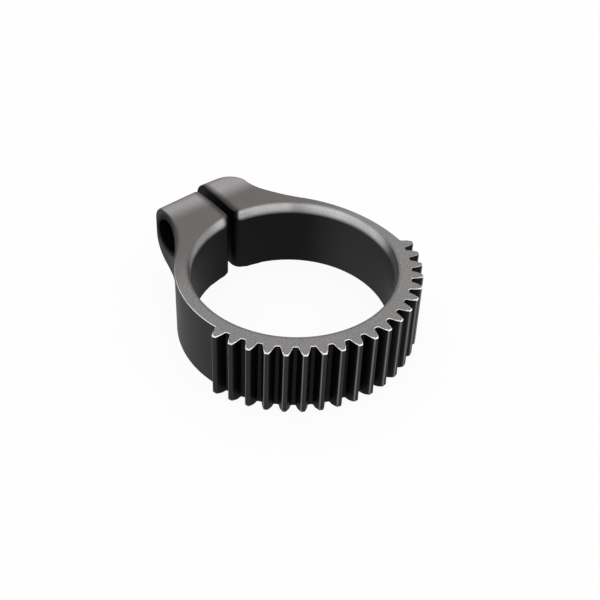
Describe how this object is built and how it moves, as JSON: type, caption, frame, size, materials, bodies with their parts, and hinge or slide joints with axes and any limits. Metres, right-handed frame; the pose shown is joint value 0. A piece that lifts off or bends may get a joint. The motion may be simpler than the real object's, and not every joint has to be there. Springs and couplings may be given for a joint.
{
  "type": "sector gear",
  "caption": "Sector gear with a split clamp ring: spur teeth over part of the rim, a slit lug with a cross bolt hole at the back and a flared bore.",
  "frame": {"origin": "middle of the part's footprint, at the bottom face that it rests on; the bore's axis is parallel to Z and 4.5 mm towards -Y from it", "axes": "+Z along the bore, from the plain face to the flared face; +Y from the toothed sector towards the clamp lug; +X to the side of the longer ear"},
  "size_m": [0.045, 0.056, 0.014],
  "materials": {
    "blackened_steel": "satin, blackened, with worn bright edges"
  },
  "bodies": {
    "root": {"sector_gear": "blackened_steel"}
  },
  "joints": []
}
